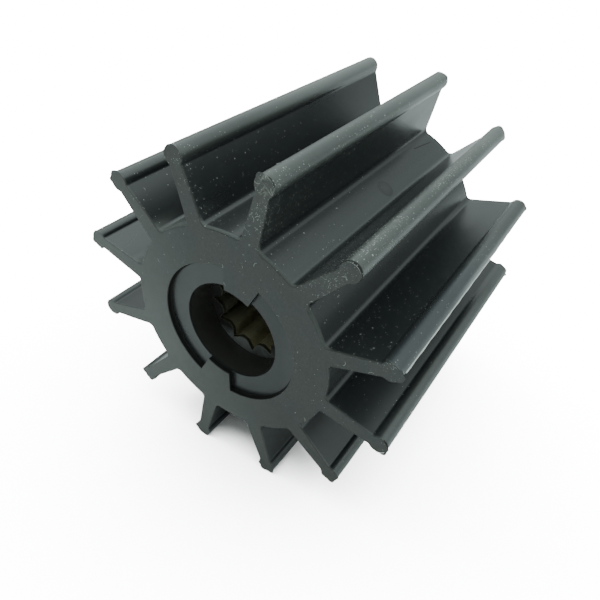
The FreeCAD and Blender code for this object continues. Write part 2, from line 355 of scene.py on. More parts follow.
def make_rubber_sector(name, with_lug):
    sector = Sector(name)
    skin = rubber_skin(sector, vane_section())
    rim = rounded_rim(RIM_ROUND)

    recess = recess_rows()
    seat = fluted_circle()
    seat_rows = []
    for end, outer in ((-1, skin[0]), (1, skin[-1])):
        if with_lug:
            path = [(BORE_RADIUS + i, d) for i, d in rim] + recess[-4:]
            for turn in (-VANE_PITCH / 2, VANE_PITCH / 2):
                add_lug_side(sector, end, turn, recess)
        else:
            path = recess
        rows = [sector.row(ring(r), end * (HALF_LENGTH - d)) for r, d in path]
        sector.bridge(rows)
        shoulder = [RECESS_RADIUS + RIM_ROUND] if with_lug else []
        right, left = [[sector.row([polar(r, turn)], end * HALF_LENGTH)[0] for r in shoulder]
                       for turn in (VANE_PITCH / 2, -VANE_PITCH / 2)]
        sector.plate(outer + right + list(reversed(rows[0])) + left)
        wall = sector.row(seat, end * (HALF_LENGTH - BUSH_SETBACK))
        sector.plate(rows[-1] + list(reversed(wall)))
        seat_rows.append(wall)
    sector.bridge(seat_rows)
    return sector.make_object()


def make_bush_sector():
    sector = Sector("bush_sector")
    section = tooth_section()
    rim = rounded_rim(0.12, 3)
    half = HALF_LENGTH - BUSH_SETBACK
    front = [(i, -(half - d)) for i, d in rim] + [(0.0, -(half - d)) for d in (1.0, 4.0, 12.0, 24.0)]
    back = [(i, -y) for i, y in reversed(front)]
    inner = [sector.row(inset(section, i), y) for i, y in front + back]
    outer = [sector.row(fluted_circle(), y) for y in (-half, half)]
    sector.bridge(inner)
    sector.bridge(outer)
    for a, b in ((inner[0], outer[0]), (inner[-1], outer[-1])):
        sector.plate(a + list(reversed(b)))
    return sector.make_object()


# ------------------------ Twelve sectors round the shaft

class Tree:
    """Shorthand for building a node tree."""

    def __init__(self, tree):
        self.tree = tree

    def node(self, kind, *sources, **settings):
        node = self.tree.nodes.new(kind)
        for key, value in settings.items():
            setattr(node, key, value)
        for socket, source in zip(node.inputs, sources):
            self.feed(socket, source)
        return node

    def feed(self, socket, source):
        if source is None:
            return
        if isinstance(source, bpy.types.NodeSocket):
            self.tree.links.new(source, socket)
        else:
            socket.default_value = source

    def math(self, operation, *sources):
        return self.node("ShaderNodeMath", *sources, operation=operation).outputs[0]

    def vector(self, operation, *sources):
        return self.node("ShaderNodeVectorMath", *sources, operation=operation).outputs[0]


def make_ring_tree(name):
    """Stands sectors round the shaft, welds them, and bends each vane by its own lean and length."""
    tree = bpy.data.node_groups.new(name, "GeometryNodeTree")
    face = tree.interface
    face.new_socket("Carrier", in_out="INPUT", socket_type="NodeSocketGeometry")
    for label, kind in (("Plain sector", "NodeSocketObject"), ("Lug sector", "NodeSocketObject"),
                        ("Pitch", "NodeSocketFloat"), ("First turn", "NodeSocketFloat"),
                        ("Bend from radius", "NodeSocketFloat"), ("Bend to radius", "NodeSocketFloat"),
                        ("Half length", "NodeSocketFloat"), ("Weld", "NodeSocketFloat"),
                        ("Finish", "NodeSocketMaterial")):
        face.new_socket(label, in_out="INPUT", socket_type=kind)
    face.new_socket("Ring", in_out="OUTPUT", socket_type="NodeSocketGeometry")

    t = Tree(tree)
    given = t.node("NodeGroupInput").outputs
    index = t.node("GeometryNodeInputIndex").outputs[0]
    turn = t.math("MULTIPLY_ADD", index, given["Pitch"], given["First turn"])
    stand = t.node("ShaderNodeCombineXYZ", 0.0, turn, 0.0).outputs[0]
    is_lug = t.node("GeometryNodeInputNamedAttribute", "lug", data_type="BOOLEAN").outputs[0]
    no_lug = t.node("FunctionNodeBooleanMath", is_lug, operation="NOT").outputs[0]
    joined = t.node("GeometryNodeJoinGeometry")
    for source, chosen in (("Plain sector", no_lug), ("Lug sector", is_lug)):
        shape = t.node("GeometryNodeObjectInfo", given[source]).outputs["Geometry"]
        placed = t.node("GeometryNodeInstanceOnPoints", given["Carrier"], chosen, shape)
        t.feed(placed.inputs["Rotation"], stand)
        tree.links.new(placed.outputs[0], joined.inputs[0])
    solid = t.node("GeometryNodeRealizeInstances", joined.outputs[0]).outputs[0]
    welded = t.node("GeometryNodeMergeByDistance", solid)
    t.feed(welded.inputs["Distance"], given["Weld"])

    position = t.node("GeometryNodeInputPosition").outputs[0]
    flat = t.vector("MULTIPLY", position, (1.0, 0.0, 1.0))
    radius = t.node("ShaderNodeVectorMath", flat, operation="LENGTH").outputs["Value"]
    share = t.node("ShaderNodeMapRange", radius, given["Bend from radius"], given["Bend to radius"],
                   0.0, 1.0).outputs[0]
    along = t.node("ShaderNodeMapRange", t.node("ShaderNodeSeparateXYZ", position).outputs[1],
                   t.math("MULTIPLY", given["Half length"], -1.0), given["Half length"], 0.0, 1.0).outputs[0]

    def between_ends(front_label, back_label):
        front, back = [t.node("GeometryNodeInputNamedAttribute", label, data_type="FLOAT").outputs[0]
                       for label in (front_label, back_label)]
        return t.math("ADD", front, t.math("MULTIPLY", along, t.math("SUBTRACT", back, front)))

    lean, reach = between_ends("lean_front", "lean_back"), between_ends("reach_front", "reach_back")
    bent = t.node("ShaderNodeVectorRotate", position, None, None, t.math("MULTIPLY", lean, share),
                  rotation_type="Y_AXIS").outputs[0]
    outward = t.vector("NORMALIZE", t.vector("MULTIPLY", bent, (1.0, 0.0, 1.0)))
    longer = t.node("ShaderNodeVectorMath", outward, operation="SCALE")
    t.feed(longer.inputs["Scale"], t.math("MULTIPLY", reach, share))
    moved = t.node("GeometryNodeSetPosition", welded.outputs[0])
    t.feed(moved.inputs["Position"], t.vector("ADD", bent, longer.outputs[0]))
    smooth = t.node("GeometryNodeSetShadeSmooth", moved.outputs[0])
    done = t.node("GeometryNodeSetMaterial", smooth.outputs[0])
    t.feed(done.inputs["Material"], given["Finish"])
    t.node("NodeGroupOutput", done.outputs[0])
    return tree


def vane_table(vanes):
    """What the tree reads of each vane: leans in radians and lengths in metres."""
    return {
        "lean_front": [math.radians(v.lean_front) for v in vanes],
        "lean_back": [math.radians(v.lean_back) for v in vanes],
        "reach_front": [v.reach_front * MM for v in vanes],
        "reach_back": [v.reach_back * MM for v in vanes],
        "lug": [v.lug for v in vanes],
    }


def make_ring(name, tree, inputs, vanes):
    """Runs the tree on one point for each sector and returns the ring as a plain mesh."""
    carrier = bpy.data.meshes.new(name + "_carrier")
    carrier.from_pydata([(0, 0, 0)] * len(vanes), [], [])
    table = vane_table(vanes)
    for label, values in table.items():
        kind = "BOOLEAN" if label == "lug" else "FLOAT"
        carrier.attributes.new(label, kind, "POINT").data.foreach_set("value", values)
    holder = bpy.data.objects.new(name, carrier)
    bpy.context.scene.collection.objects.link(holder)
    ring_of = holder.modifiers.new("ring", "NODES")
    ring_of.node_group = tree
    for item in tree.interface.items_tree:
        if item.in_out == "INPUT" and item.name in inputs:
            ring_of[item.identifier] = inputs[item.name]
    mesh = bpy.data.meshes.new_from_object(holder.evaluated_get(bpy.context.evaluated_depsgraph_get()))
    holder.modifiers.remove(ring_of)
    holder.data = mesh
    mesh.name = name
    mesh.materials.clear()
    mesh.materials.append(inputs["Finish"])
    mesh.polygons.foreach_set("material_index", [0] * len(mesh.polygons))
    for label in table:
        if label in mesh.attributes:
            mesh.attributes.remove(mesh.attributes[label])
    return holder


def settle_faces(mesh):
    """Turns every face outwards and marks the edges that stay crisp."""
    bm = bmesh.new()
    bm.from_mesh(mesh)
    bmesh.ops.recalc_face_normals(bm, faces=bm.faces)
    open_edges = [e for e in bm.edges if not e.is_manifold]
    if open_edges:
        raise RuntimeError("%s has %d open edges" % (mesh.name, len(open_edges)))
    if bm.calc_volume(signed=True) < 0:
        bmesh.ops.reverse_faces(bm, faces=bm.faces)
    bm.to_mesh(mesh)
    bm.free()
    mesh.set_sharp_from_angle(angle=math.radians(SHARP_OVER))


def weight_normals(piece):
    """Lets the flats rule the shading at their rounded rims."""
    weighting = piece.modifiers.new("weighting", "WEIGHTED_NORMAL")
    weighting.keep_sharp = True
    mesh = bpy.data.meshes.new_from_object(piece.evaluated_get(bpy.context.evaluated_depsgraph_get()))
    mesh.name = piece.name
    piece.modifiers.remove(weighting)
    piece.data = mesh


def bead_at(number, share):
    """Middle of a vane's bead and the vane's turn, at a share of the way from the front to the back."""
    vane = VANES[number - 1]
    turn = FIRST_VANE + VANE_PITCH * (number - 1)
    turn += vane.lean_front + (vane.lean_back - vane.lean_front) * share
    reach = vane.reach_front + (vane.reach_back - vane.reach_front) * share
    return polar(TIP_RADIUS - BEAD_RADIUS + reach, turn), turn


def add_flash(mesh):
    """Pulls the ends of the beads out into the moulding's flash, and chips them."""
    for end, table in ((-1, FRONT_FLASH), (1, BACK_FLASH)):
        near_end = [v for v in mesh.vertices if HALF_LENGTH - end * v.co.y / MM <= FLASH_DEPTH]
        for number in sorted({lump.vane for lump in table}):
            lumps = [lump for lump in table if lump.vane == number]
            centre, vane_turn = bead_at(number, (end + 1) / 2)
            for vertex in near_end:
                point = (vertex.co.x / MM, vertex.co.z / MM)
                distance = math.dist(point, centre)
                if not BEAD_SKIN[0] < distance < BEAD_SKIN[1]:
                    continue
                depth = HALF_LENGTH - end * vertex.co.y / MM
                push = sum(lump_height(lump, turn_to(point, centre) - vane_turn, distance, depth)
                           for lump in lumps)
                vertex.co.x += (point[0] - centre[0]) / distance * push * MM
                vertex.co.z += (point[1] - centre[1]) / distance * push * MM


def lump_height(lump, turn, distance, depth):
    """How far one lump of flash stands out at a turn round the bead and a depth from its end."""
    away = abs((turn - lump.turn + 180) % 360 - 180)
    peak = max(0.0, 1 - math.radians(away) * distance / lump.half_width)
    fade = max(0.0, 1 - depth / lump.deep)
    return lump.out * peak * (2 - peak) * fade * fade


class Strips:
    """Thin closed strips of rubber added to a mesh. Each point holds how much painted highlight it carries.
    """

    def __init__(self, mesh):
        self.mesh = mesh
        self.bm = bmesh.new()
        self.bm.from_mesh(mesh)
        self.pale = self.bm.verts.layers.float.new("pale")

    def row(self, points, paleness):
        out = []
        for point in points:
            out.append(self.bm.verts.new([v * MM for v in point]))
            out[-1][self.pale] = paleness
        return out

    def skin(self, rows, smooth):
        count = len(rows[0])
        for a, b in zip(rows, rows[1:]):
            for j in range(count):
                k = (j + 1) % count
                self.bm.faces.new((a[j], a[k], b[k], b[j])).smooth = smooth
        self.bm.faces.new(rows[0])
        self.bm.faces.new(list(reversed(rows[-1])))

    def store(self):
        self.bm.to_mesh(self.mesh)
        self.bm.free()


def add_lip(strips, lip):
    """Stands a thin curled lip on a bead's front rim, fading out at both its ends."""
    centre, vane_turn = bead_at(lip.vane, 0.0)
    rows = []
    for i, turn in enumerate(spread(vane_turn + lip.start, vane_turn + lip.end, LIP_STEPS)):
        full = math.sin(math.pi * i / LIP_STEPS) ** 0.6 * (0.8 + 0.2 * math.sin(i * 1.9 + lip.vane))
        tall, thick = lip.height * full, lip.thick * full
        foot, sunk = BEAD_RADIUS - 0.12, -0.15
        profile = ((foot, sunk), (foot + 0.02 + 0.05 * full, tall), (foot - thick, tall * 0.7),
                   (foot - 0.04 - thick, sunk))
        points = []
        for radius, out in profile:
            x, z = polar(radius, turn, centre)
            points.append((x, -(HALF_LENGTH + out), z))
        rows.append(strips.row(points, lip.paleness))
    strips.skin(rows, True)


def add_ridge(strips, ridge):
    """Lays a thin ridge along a bead, sinking away at its far end."""
    foot, inset_from_face = BEAD_RADIUS - 0.12, 0.02
    rows = []
    for along in spread(ridge.start, ridge.end, RIDGE_STEPS):
        centre, vane_turn = bead_at(ridge.vane, along / (2 * HALF_LENGTH))
        tall = ridge.height * min(1.0, 2.5 * (1 - along / ridge.end))
        tall *= 0.85 + 0.15 * math.sin(along * 0.9 + ridge.vane)
        points = []
        for radius, aside in ((foot, -RIDGE_FOOT), (foot + 0.06 + tall, 0.0), (foot, RIDGE_FOOT)):
            x, z = polar(radius, vane_turn + ridge.turn + aside, centre)
            points.append((x, along - HALF_LENGTH + inset_from_face, z))
        rows.append(strips.row(points, ridge.paleness))
    strips.skin(rows, False)


def add_strips(mesh):
    strips = Strips(mesh)
    for lip in FRONT_LIPS:
        add_lip(strips, lip)
    for ridge in RIDGES:
        add_ridge(strips, ridge)
    strips.store()


# ------------------------ Finishes

# Colours of the rubber
FLANK_BLACK = (0.012, 0.0135, 0.0145, 1)
MATT_BROWN = (0.0200, 0.0195, 0.0135, 1)
MATT_BLUE = (0.0155, 0.0180, 0.0190, 1)
# Bloom on the end faces, made paler towards the lower left by painted sheen
FACE_BLOOM_AND_SHEEN = (0.085, 0.090, 0.083, 1)
FACE_GRAIN = (0.06, 0.068, 0.064, 1)
BEAD_GREY = (0.040, 0.045, 0.042, 1)
BEAD_BLUE = (0.038, 0.045, 0.050, 1)
# Painted sheen on the upper beads towards the back
BEAD_SHEEN_PALE = (0.100, 0.108, 0.103, 1)
HUB_PALE = (0.060, 0.066, 0.062, 1)
HUB_EDGE_DARK = (0.048, 0.053, 0.050, 1)
HUB_EDGE_PALE = (0.075, 0.082, 0.078, 1)
HUB_FILM = (0.030, 0.034, 0.035, 1)
STAIN_BLACK = (0.004, 0.005, 0.005, 1)
# Painted shade, for where hardly any light gets in
PAINTED_SHADE_BLACK = (0.006, 0.006, 0.005, 1)
# Painted highlight on the lips and ridges
PAINTED_HIGHLIGHT_WHITE = (0.75, 0.76, 0.74, 1)
TORN_GREY = (0.22, 0.225, 0.19, 1)
BORE_GREY = (0.028, 0.027, 0.024, 1)
DUST = (0.36, 0.38, 0.35, 1)

# Colours of the bush
OLIVE_DARK = (0.34, 0.31, 0.19, 1)
OLIVE_PALE = (0.46, 0.42, 0.27, 1)
BROACH_STREAK = (0.10, 0.095, 0.065, 1)
TURNED_DARK = (0.09, 0.095, 0.09, 1)
TURNED_PALE = (0.20, 0.207, 0.203, 1)
TURNED_RIGHT = (0.06, 0.064, 0.06, 1)
# Painted shade over the upper part of the end faces
TURNED_PAINTED_SHADE = (0.014, 0.013, 0.011, 1)
# Bronze in painted shade, on the upper left and deep in the bore
BRONZE_PAINTED_SHADE = (0.055, 0.053, 0.040, 1)
# The dark line just inside the rims
RIM_LINE_DARK = (0.012, 0.012, 0.008, 1)


class Finish(Tree):
    """A procedural material in the object's own coordinates. Its x, y and z are in millimetres."""

    def __init__(self, name):
        self.material = bpy.data.materials.new(name)
        self.material.use_nodes = True
        super().__init__(self.material.node_tree)
        self.surface = self.tree.nodes["Principled BSDF"]
        self.place = self.node("ShaderNodeTexCoord").outputs["Object"]
        self.place_mm = self.vector("MULTIPLY", self.place, (1 / MM, 1 / MM, 1 / MM))
        self.x, self.y, self.z = self.node("ShaderNodeSeparateXYZ", self.place_mm).outputs

    def set(self, **values):
        for label, value in values.items():
            self.feed(self.surface.inputs[label.replace("_", " ")], value)

    def noise(self, scale, detail, roughness, at=None, stretch=None):
        place = at or self.place
        if stretch:
            place = self.vector("MULTIPLY", place, stretch)
        node = self.node("ShaderNodeTexNoise", place)
        for label, value in (("Scale", scale), ("Detail", detail), ("Roughness", roughness)):
            node.inputs[label].default_value = value
        return node.outputs["Fac"]

    def ramp(self, value, low, high, to_low=0.0, to_high=1.0):
        return self.node("ShaderNodeMapRange", value, low, high, to_low, to_high).outputs[0]

    def band(self, value, rise_from, rise_to, fall_from, fall_to):
        """1 between two values, fading to 0 outside them."""
        return self.both(self.ramp(value, rise_from, rise_to), self.ramp(value, fall_to, fall_from))

    def both(self, *values):
        out = values[0]
        for value in values[1:]:
            out = self.math("MULTIPLY", out, value)
        return out

    def highest(self, *values):
        out = values[0]
        for value in values[1:]:
            out = self.math("MAXIMUM", out, value)
        return out

    def slanted(self, a, share_a, b, share_b):
        """How far a point lies along a slanted direction."""
        return self.math("ADD", self.both(a, share_a), self.both(b, share_b))

    def blend(self, share, first, second):
        node = self.node("ShaderNodeMix", data_type="RGBA")
        for number, source in ((0, share), (6, first), (7, second)):
            self.feed(node.inputs[number], source)
        return node.outputs[2]

    def blend_places(self, share, first, second):
        node = self.node("ShaderNodeMix", data_type="VECTOR")
        for number, source in ((0, share), (4, first), (5, second)):
            self.feed(node.inputs[number], source)
        return node.outputs[1]

    def cells(self, scale, place, dimensions="2D"):
        """Scattered cells: distance from the cell's middle, three random numbers, the middle."""
        node = self.node("ShaderNodeTexVoronoi", place, voronoi_dimensions=dimensions)
        node.inputs["Scale"].default_value = scale
        random = self.node("ShaderNodeSeparateColor", node.outputs["Color"]).outputs
        return node.outputs["Distance"], random, node.outputs["Position"]

    def specks(self, scale, size, share):
        """Small scattered grains of dust, some brighter than others."""
        distance, random, _ = self.cells(scale, self.place, "3D")
        edge = self.math("MULTIPLY", self.ramp(random[1], 0.0, 1.0, 0.5, 1.0), size)
        near = self.ramp(self.math("DIVIDE", distance, edge), 1.0, 0.4)
        shine = self.ramp(random[2], 0.0, 1.0, 0.15, 1.0)
        return self.both(near, self.math("LESS_THAN", random[0], share), shine)

    def fibres(self, sheet, scale, length, width, share, curl):
        """Short curled lines on a flat sheet, each at its own angle."""
        _, random, middle = self.cells(scale * MM, sheet)
        away = self.node("ShaderNodeSeparateXYZ", self.vector("SUBTRACT", sheet, middle)).outputs
        angle = self.math("MULTIPLY", random[1], math.tau)
        sine, cosine = self.math("SINE", angle), self.math("COSINE", angle)
        along = self.slanted(away[0], cosine, away[1], sine)
        across = self.math("SUBTRACT", self.both(away[1], cosine), self.both(away[0], sine))
        across = self.math("ABSOLUTE", self.math("ADD", across, self.both(along, along, curl / length)))
        inside = self.ramp(self.math("ABSOLUTE", along), length, length * 0.8)
        return self.both(inside, self.ramp(across, width, width * 0.4),
                         self.math("LESS_THAN", random[0], share))

    def roughen(self, height, strength, distance):
        bump = self.node("ShaderNodeBump")
        bump.inputs["Strength"].default_value = strength
        bump.inputs["Distance"].default_value = distance * MM
        self.feed(bump.inputs["Height"], height)
        self.set(Normal=bump.outputs[0])


class RubberFinish(Finish):
    """Black rubber: glossy vanes, rubbed beads, matt end faces, and dust on what faces up."""

    def __init__(self):
        super().__init__("moulded_rubber")
        self.find_areas()
        self.find_wear()
        self.find_hub_marks()
        self.find_hollows()
        self.find_torn_bead()
        grain = self.noise(1700, 3, 0.75)
        self.set(Base_Color=self.blend(self.both(self.dust(), 0.8), self.colour(grain), DUST))
        self.set(Roughness=self.roughness(), Specular_IOR_Level=self.specular())
        self.roughen(self.both(self.end, grain), 0.25, 0.12)

    def find_areas(self):
        """The ends, the sides, the beads and the hub."""
        x, y, z = self.x, self.y, self.z
        self.from_end = self.math("SUBTRACT", HALF_LENGTH, self.math("ABSOLUTE", y))
        self.radius = self.math("SQRT", self.slanted(x, x, z, z))
        self.turn = self.math("ARCTAN2", x, z)
        hub_rim = self.ramp(self.radius, 31.2, 30.0, 0.0, 0.45)
        self.end = self.ramp(self.math("SUBTRACT", self.from_end, hub_rim), 0.25, 0.10)
        self.side = self.math("SUBTRACT", 1.0, self.end)
        self.bead = self.both(self.side, self.ramp(self.radius, 43.6, 45.5))
        self.outside = self.ramp(self.radius, 28.5, 29.2)
        self.on_hub = self.both(self.ramp(self.radius, 31.5, 30.5), self.side, self.outside)

    def find_wear(self):
        """Where beads, rims and the hub's front have been rubbed, and where the upper beads carry a painted
        sheen towards the back.
        """
        x, y, z = self.x, self.y, self.z
        self.right_bead = self.both(self.bead, self.ramp(x, 36, 38), self.ramp(z, 0, 6),
                                    self.ramp(y, 15, -15))
        beads = self.both(self.bead, self.ramp(self.noise(60, 3, 0.6), 0.25, 0.65, 0.75, 1.1),
                          self.ramp(self.right_bead, 0.0, 1.0, 1.0, 0.55))
        rims = self.both(self.band(self.from_end, 0.03, 0.10, 0.3, 0.7),
                         self.ramp(self.radius, 31, 33, 0.25, 0.9))
        self.rubbed = self.both(self.highest(beads, rims), self.outside)
        # Painted sheen: the upper beads are paler towards the back, where they reflect the light
        self.far_beads_sheen = self.both(self.bead, self.ramp(z, 18, 26), self.ramp(x, -8, 8, 1.0, 0.8),
                                   self.ramp(self.slanted(y, 1.0, x, -0.5), -18, 20))
        self.hub_top = self.both(self.ramp(self.radius, 34.0, 31.5), self.ramp(z, 0, 12),
                                 self.ramp(x, -5.5, -8.5), self.ramp(y, -34, -43), self.side, self.outside)
        self.hub_edge = self.both(self.band(self.from_end, 0.04, 0.12, 0.60, 1.00),
                                  self.band(self.radius, 28.4, 28.8, 30.8, 32.5), self.ramp(z, 4, 10))

    def find_hub_marks(self):
        """A pale film, a dark stain, and a scratch along the shaft but a little askew."""
        x, y, z = self.x, self.y, self.z
        self.film = self.both(self.on_hub, self.band(x, 13.0, 16.5, 18.5, 21.5), self.ramp(z, 18, 21), 0.5)

        stain_x, stain_z = polar(HUB_RADIUS, 32)
        to_stain = self.node("ShaderNodeVectorMath", self.place_mm, (stain_x, 5.3, stain_z),
                             operation="DISTANCE").outputs["Value"]
        self.stain = self.both(self.on_hub, self.ramp(to_stain, 2.9, 2.4),
                               self.ramp(to_stain, 0, 2.4, 0.5, 1.0))

        round_hub = self.math("MULTIPLY_ADD", self.turn, HUB_RADIUS, -12.6)
        down_hub = self.math("SUBTRACT", y, 30.5)
        cosine, sine = 0.989, 0.149
        across = self.slanted(round_hub, cosine, down_hub, -sine)
        along = self.slanted(round_hub, sine, down_hub, cosine)
        self.scratch = self.both(self.on_hub, self.ramp(self.math("ABSOLUTE", across), 0.22, 0.12),
                                 self.band(along, 0.0, 0.4, 9.0, 11.2))

    def under_flash(self, fade_from, fade_to, *limits):
        """A line of painted shade just behind the front rim, fading out between two distances from the end.
        """
        return self.both(self.band(self.from_end, 0.01, 0.06, fade_from, fade_to),
                         self.ramp(self.y, 0, -10), *limits)

    def find_hollows(self):
        """Where hardly any light gets in: under flash, in a chip, and down the recess's wall."""
        x, y, z = self.x, self.y, self.z
        # Painted shade under the flash lips, behind the rims of the tips, and in a chip at the far end
        under_lip = self.under_flash(0.6, 0.9, self.ramp(self.radius, 43.6, 44.2), self.ramp(x, 28, 29),
                                     self.ramp(z, 28.5, 29.5))
        right_tips = self.under_flash(0.35, 0.55, self.ramp(x, 44.9, 45.3),
                                      self.band(z, -13.0, -12.5, 13.0, 13.5))
        top_tip = self.under_flash(0.30, 0.45, self.ramp(z, 44.0, 44.3), self.band(x, 11.8, 12.5, 15.0, 15.5))
        far_chip = self.both(self.ramp(y, 43.50, 43.75), self.ramp(x, 13.1, 13.4), self.ramp(z, 44.0, 44.3))
        self.undercut_shade = self.highest(under_lip, right_tips, top_tip, far_chip)

        # Painted shade down the recess's wall and along the corner at its floor
        corner = self.band(self.radius, 19.45, 19.65, 20.4, 20.6)
        self.wall = self.both(self.ramp(self.from_end, 0.12, 0.30), self.ramp(self.radius, 20.6, 20.4),
                              self.highest(self.ramp(self.from_end, 1.45, 1.10), corner))

    def find_torn_bead(self):
        """The front end of the bead right of the top is torn, with streaks both ways across it."""
        torn_x, torn_z = polar(TIP_RADIUS - BEAD_RADIUS + 0.3, 15.0)
        dx, dz = self.math("SUBTRACT", self.x, torn_x), self.math("SUBTRACT", self.z, torn_z)
        torn = self.both(self.end, self.ramp(self.slanted(dx, dx, dz, dz), 2.6 ** 2, 2.1 ** 2),
                         self.ramp(dx, -1.8, 0.2))
        slants = [self.node("ShaderNodeVectorRotate", self.place, None, (0.0, 1.0, 0.0), slant).outputs[0]
                  for slant in (0.7, -0.5)]
        streaks = [self.noise(1500, 2, 0.5, at=place, stretch=(1.0, 1.0, 0.22)) for place in slants]
        self.torn = self.both(torn, self.ramp(self.highest(*streaks), 0.56, 0.72))

    def dusty_places(self):
        """Dust lies on what faces up, and thickest at the front."""
        x, z = self.x, self.z
        front = self.ramp(self.y, 20, -44)
        low_down = self.ramp(z, 4, 26, 0.12, 1.0)
        on_end = self.both(self.end, self.ramp(self.slanted(x, 0.5, z, 0.866), 27, 36, 0.07, 0.9))
        on_bead = self.both(self.bead, self.ramp(front, 0.0, 1.0, 0.12, 0.30),
                            self.ramp(x, -11, 12, 0.2, 1.0), low_down)
        shaded = self.both(self.bead, self.ramp(self.slanted(x, 1.0, z, -1.0), 1.2, -1.2),
                           self.band(x, 27, 29, 36, 38))
        on_side = self.both(self.side, self.outside, front, front, self.ramp(self.radius, 30, 32, 0.2, 0.55),
                            self.ramp(x, -20, -6, 0.2, 1.0), low_down)
        above = self.ramp(self.slanted(x, 0.6, z, 1.0), -15, 12)
        cloud = self.ramp(self.noise(75, 3, 0.6), 0.38, 0.62, 0.2, 1.0)
        return self.both(self.highest(on_end, shaded, on_bead, on_side), above, cloud)

    def dust(self):
        """Grains, lint and powder."""
        dusty = self.dusty_places()
        grains = self.highest(self.specks(1500, 0.36, self.both(dusty, 0.85)),
                              self.specks(2400, 0.45, self.both(dusty, 0.75)),
                              self.specks(800, 0.26, self.both(dusty, 0.55)))
        round_and_out = self.math("MULTIPLY_ADD", self.turn, 30.0, self.radius)
        side_sheet = self.node("ShaderNodeCombineXYZ", self.y, round_and_out, 0.0).outputs[0]
        face_sheet = self.node("ShaderNodeCombineXYZ", self.x, self.z, 0.0).outputs[0]
        sheet = self.blend_places(self.end, side_sheet, face_sheet)
        flat = self.highest(self.end, self.band(self.radius, 31.5, 32.5, 42.5, 43.2))
        lint = self.highest(self.fibres(sheet, 330, 0.8, 0.09, self.both(dusty, 0.5), 0.5),
                            self.fibres(sheet, 520, 0.4, 0.07, self.both(dusty, 0.7), 0.8))
        powder = self.both(self.ramp(self.noise(900, 2, 0.6), 0.15, 0.85), dusty, 0.12)
        return self.highest(grains, self.both(lint, flat, 0.7), powder)

    def colour(self, grain):
        """From the plain black flanks up, each coat laid over those before it."""
        bloom = self.both(self.end, self.ramp(self.noise(48, 4, 0.6), 0.3, 0.7, 0.6, 1.0))
        # Painted sheen: the end faces are paler towards the lower left, where they catch the light
        lower_left_sheen = self.ramp(self.slanted(self.x, -0.85, self.z, -0.5), -4, 30)
        matt = self.blend(self.ramp(self.noise(110, 3, 0.6), 0.35, 0.65), MATT_BROWN, MATT_BLUE)
        edge_tone = self.blend(self.ramp(self.x, 12, 6), HUB_EDGE_DARK, HUB_EDGE_PALE)
        pale = self.node("ShaderNodeAttribute", attribute_name="pale").outputs["Fac"]
        bore = self.both(self.ramp(self.radius, 14.2, 13.9), self.ramp(self.from_end, 1.7, 2.2))

        coats = (
            (bloom, matt),
            # bloom, with painted sheen towards the lower left
            (self.both(bloom, lower_left_sheen, 0.95), FACE_BLOOM_AND_SHEEN),
            (self.both(self.end, self.ramp(grain, 0.5, 0.8, 0.0, 0.3)), FACE_GRAIN),
            (self.rubbed, self.blend(self.right_bead, BEAD_GREY, BEAD_BLUE)),
            # painted sheen on the upper beads
            (self.far_beads_sheen, BEAD_SHEEN_PALE),
            (self.hub_top, HUB_PALE),
            (self.both(self.hub_edge, 0.85), edge_tone),
            (self.film, HUB_FILM),
            (self.highest(self.both(self.stain, 0.5), self.both(self.scratch, 0.9)), STAIN_BLACK),
            # painted shade under flash and in a chip
            (self.both(self.undercut_shade, 0.8), PAINTED_SHADE_BLACK),
            # painted highlight on the lips and ridges
            (pale, PAINTED_HIGHLIGHT_WHITE),
            (self.both(self.torn, 0.8), TORN_GREY),
            # painted shade down the recess's wall
            (self.wall, PAINTED_SHADE_BLACK),
            (bore, BORE_GREY),
        )
        colour = FLANK_BLACK
        for share, coat in coats:
            colour = self.blend(share, colour, coat)
        return colour

    def roughness(self):
        """Smeared gloss on the flanks, and duller where it has been rubbed, cut or hollowed."""
        smear = self.noise(90, 3, 0.6, stretch=(1.0, 0.35, 1.0))
        dull = self.highest(self.undercut_shade, self.wall, self.hub_edge, self.both(self.right_bead, 0.65))
        return self.highest(self.ramp(smear, 0.3, 0.7, 0.26, 0.36), self.both(self.end, 0.50),
                            self.both(self.rubbed, 0.40), self.both(self.hub_top, 0.6),
                            self.both(dull, 0.75))

    def specular(self):
        """Lower where the real one stays black under the lights."""
        right_hub = self.both(self.ramp(self.radius, 32.0, 30.5), self.ramp(self.x, 0, 6), self.side,
                              self.ramp(self.x, 18.5, 15.0))
        less = self.highest(self.both(right_hub, 0.10), self.both(self.wall, 0.3),
                            self.both(self.right_bead, 0.08), self.both(self.stain, 0.14),
                            self.both(self.scratch, 0.35))
        return self.math("SUBTRACT", self.ramp(self.undercut_shade, 0.0, 1.0, 0.5, 0.08), less)


